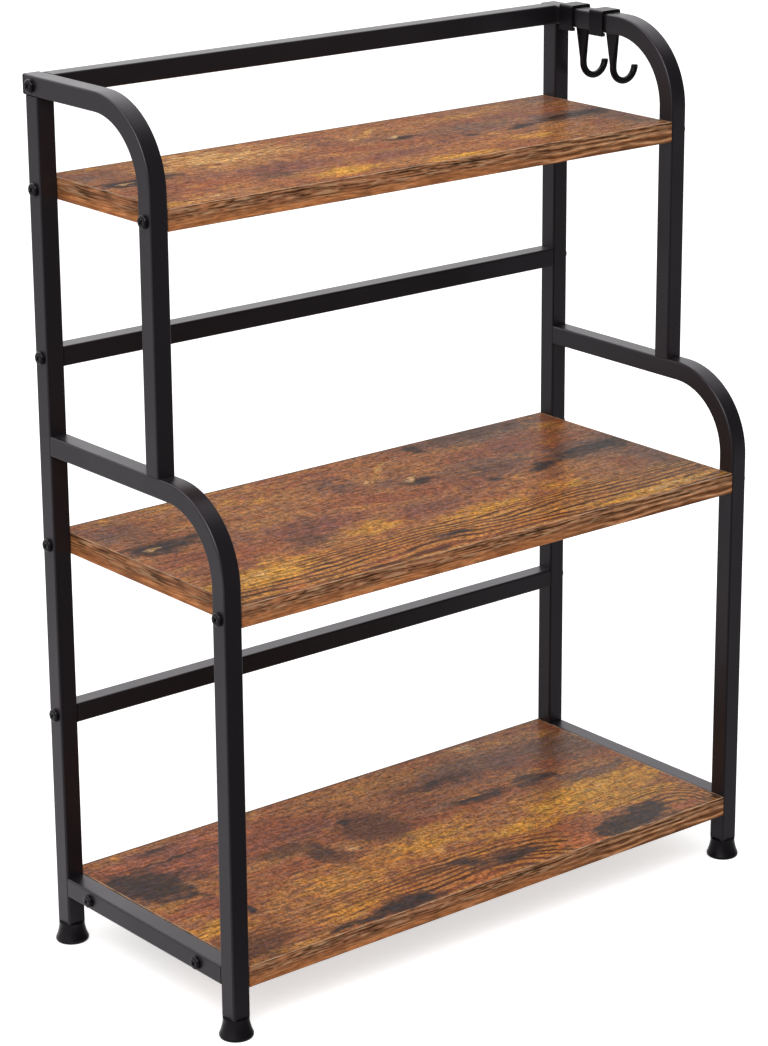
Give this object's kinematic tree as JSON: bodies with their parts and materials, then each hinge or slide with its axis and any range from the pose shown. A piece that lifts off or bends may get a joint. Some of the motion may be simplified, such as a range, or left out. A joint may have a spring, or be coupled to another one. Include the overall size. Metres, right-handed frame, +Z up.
{
  "type": "spice rack",
  "caption": "Stepped open spice rack: black square-tube side frames with rounded bends, wood-look shelves, back rails, screw feet and clip-on hooks.",
  "frame": {"origin": "on the floor under the middle of the whole part, feet and hooks included; the rack's own mid-plane is 11.7 mm to the left of it", "axes": "+Z up, front towards -Y, +X to the right seen from the front"},
  "size_m": [0.54, 0.2358, 0.6713],
  "materials": {
    "frame_black": "satin black powder coat",
    "board_decor": "rustic brown wood print on particle board, matt",
    "edge_band": "rustic brown wood print edge band",
    "plastic_black": "moulded black",
    "bolt_black": "black oxide",
    "plated_steel": "zinc plated"
  },
  "bodies": {
    "rack": {"left_rear_post": "frame_black", "left_top_tube": "frame_black", "left_step_tube": "frame_black", "left_bottom_side_rail": "frame_black", "left_top_tube_end_cap": "plastic_black", "right_rear_post": "frame_black", "right_top_tube": "frame_black", "right_step_tube": "frame_black", "right_bottom_side_rail": "frame_black", "right_top_tube_end_cap": "plastic_black", "top_back_rail": "frame_black", "top_back_rail_plugs": "plated_steel", "top_back_rail_bolts": "bolt_black", "middle_back_rail": "frame_black", "middle_back_rail_plugs": "plated_steel", "middle_back_rail_bolts": "bolt_black", "lower_back_rail": "frame_black", "lower_back_rail_plugs": "plated_steel", "lower_back_rail_bolts": "bolt_black", "top_shelf_board": "board_decor", "top_shelf_edge_bands": "edge_band", "top_shelf_inserts": "plated_steel", "top_shelf_bolts": "bolt_black", "middle_shelf_board": "board_decor", "middle_shelf_edge_bands": "edge_band", "middle_shelf_inserts": "plated_steel", "middle_shelf_bolts": "bolt_black", "bottom_shelf_board": "board_decor", "bottom_shelf_edge_bands": "edge_band", "bottom_shelf_inserts": "plated_steel", "bottom_shelf_bolts": "bolt_black", "front_left_foot_plug": "plastic_black", "front_right_foot_plug": "plastic_black", "rear_left_foot_plug": "plastic_black", "rear_right_foot_plug": "plastic_black"},
    "front_left_foot": {"front_left_foot": "plastic_black", "front_left_foot_stud": "plated_steel"},
    "front_right_foot": {"front_right_foot": "plastic_black", "front_right_foot_stud": "plated_steel"},
    "rear_left_foot": {"rear_left_foot": "plastic_black", "rear_left_foot_stud": "plated_steel"},
    "rear_right_foot": {"rear_right_foot": "plastic_black", "rear_right_foot_stud": "plated_steel"},
    "rear_hook": {"rear_hook": "plastic_black"},
    "front_hook": {"front_hook": "plastic_black"}
  },
  "joints": [
    {"name": "front_left_foot_height", "type": "slide", "parent": "rack", "child": "front_left_foot", "axis": [0, 0, -1], "range_m": [0, 0.008]},
    {"name": "front_right_foot_height", "type": "slide", "parent": "rack", "child": "front_right_foot", "axis": [0, 0, -1], "range_m": [0, 0.008]},
    {"name": "rear_left_foot_height", "type": "slide", "parent": "rack", "child": "rear_left_foot", "axis": [0, 0, -1], "range_m": [0, 0.008]},
    {"name": "rear_right_foot_height", "type": "slide", "parent": "rack", "child": "rear_right_foot", "axis": [0, 0, -1], "range_m": [0, 0.008]},
    {"name": "rear_hook_slide", "type": "slide", "parent": "rack", "child": "rear_hook", "axis": [0, 1, 0], "range_m": [-0.0098, 0.0065]},
    {"name": "front_hook_slide", "type": "slide", "parent": "rack", "child": "front_hook", "axis": [0, 1, 0], "range_m": [-0.013, 0.0098]}
  ]
}
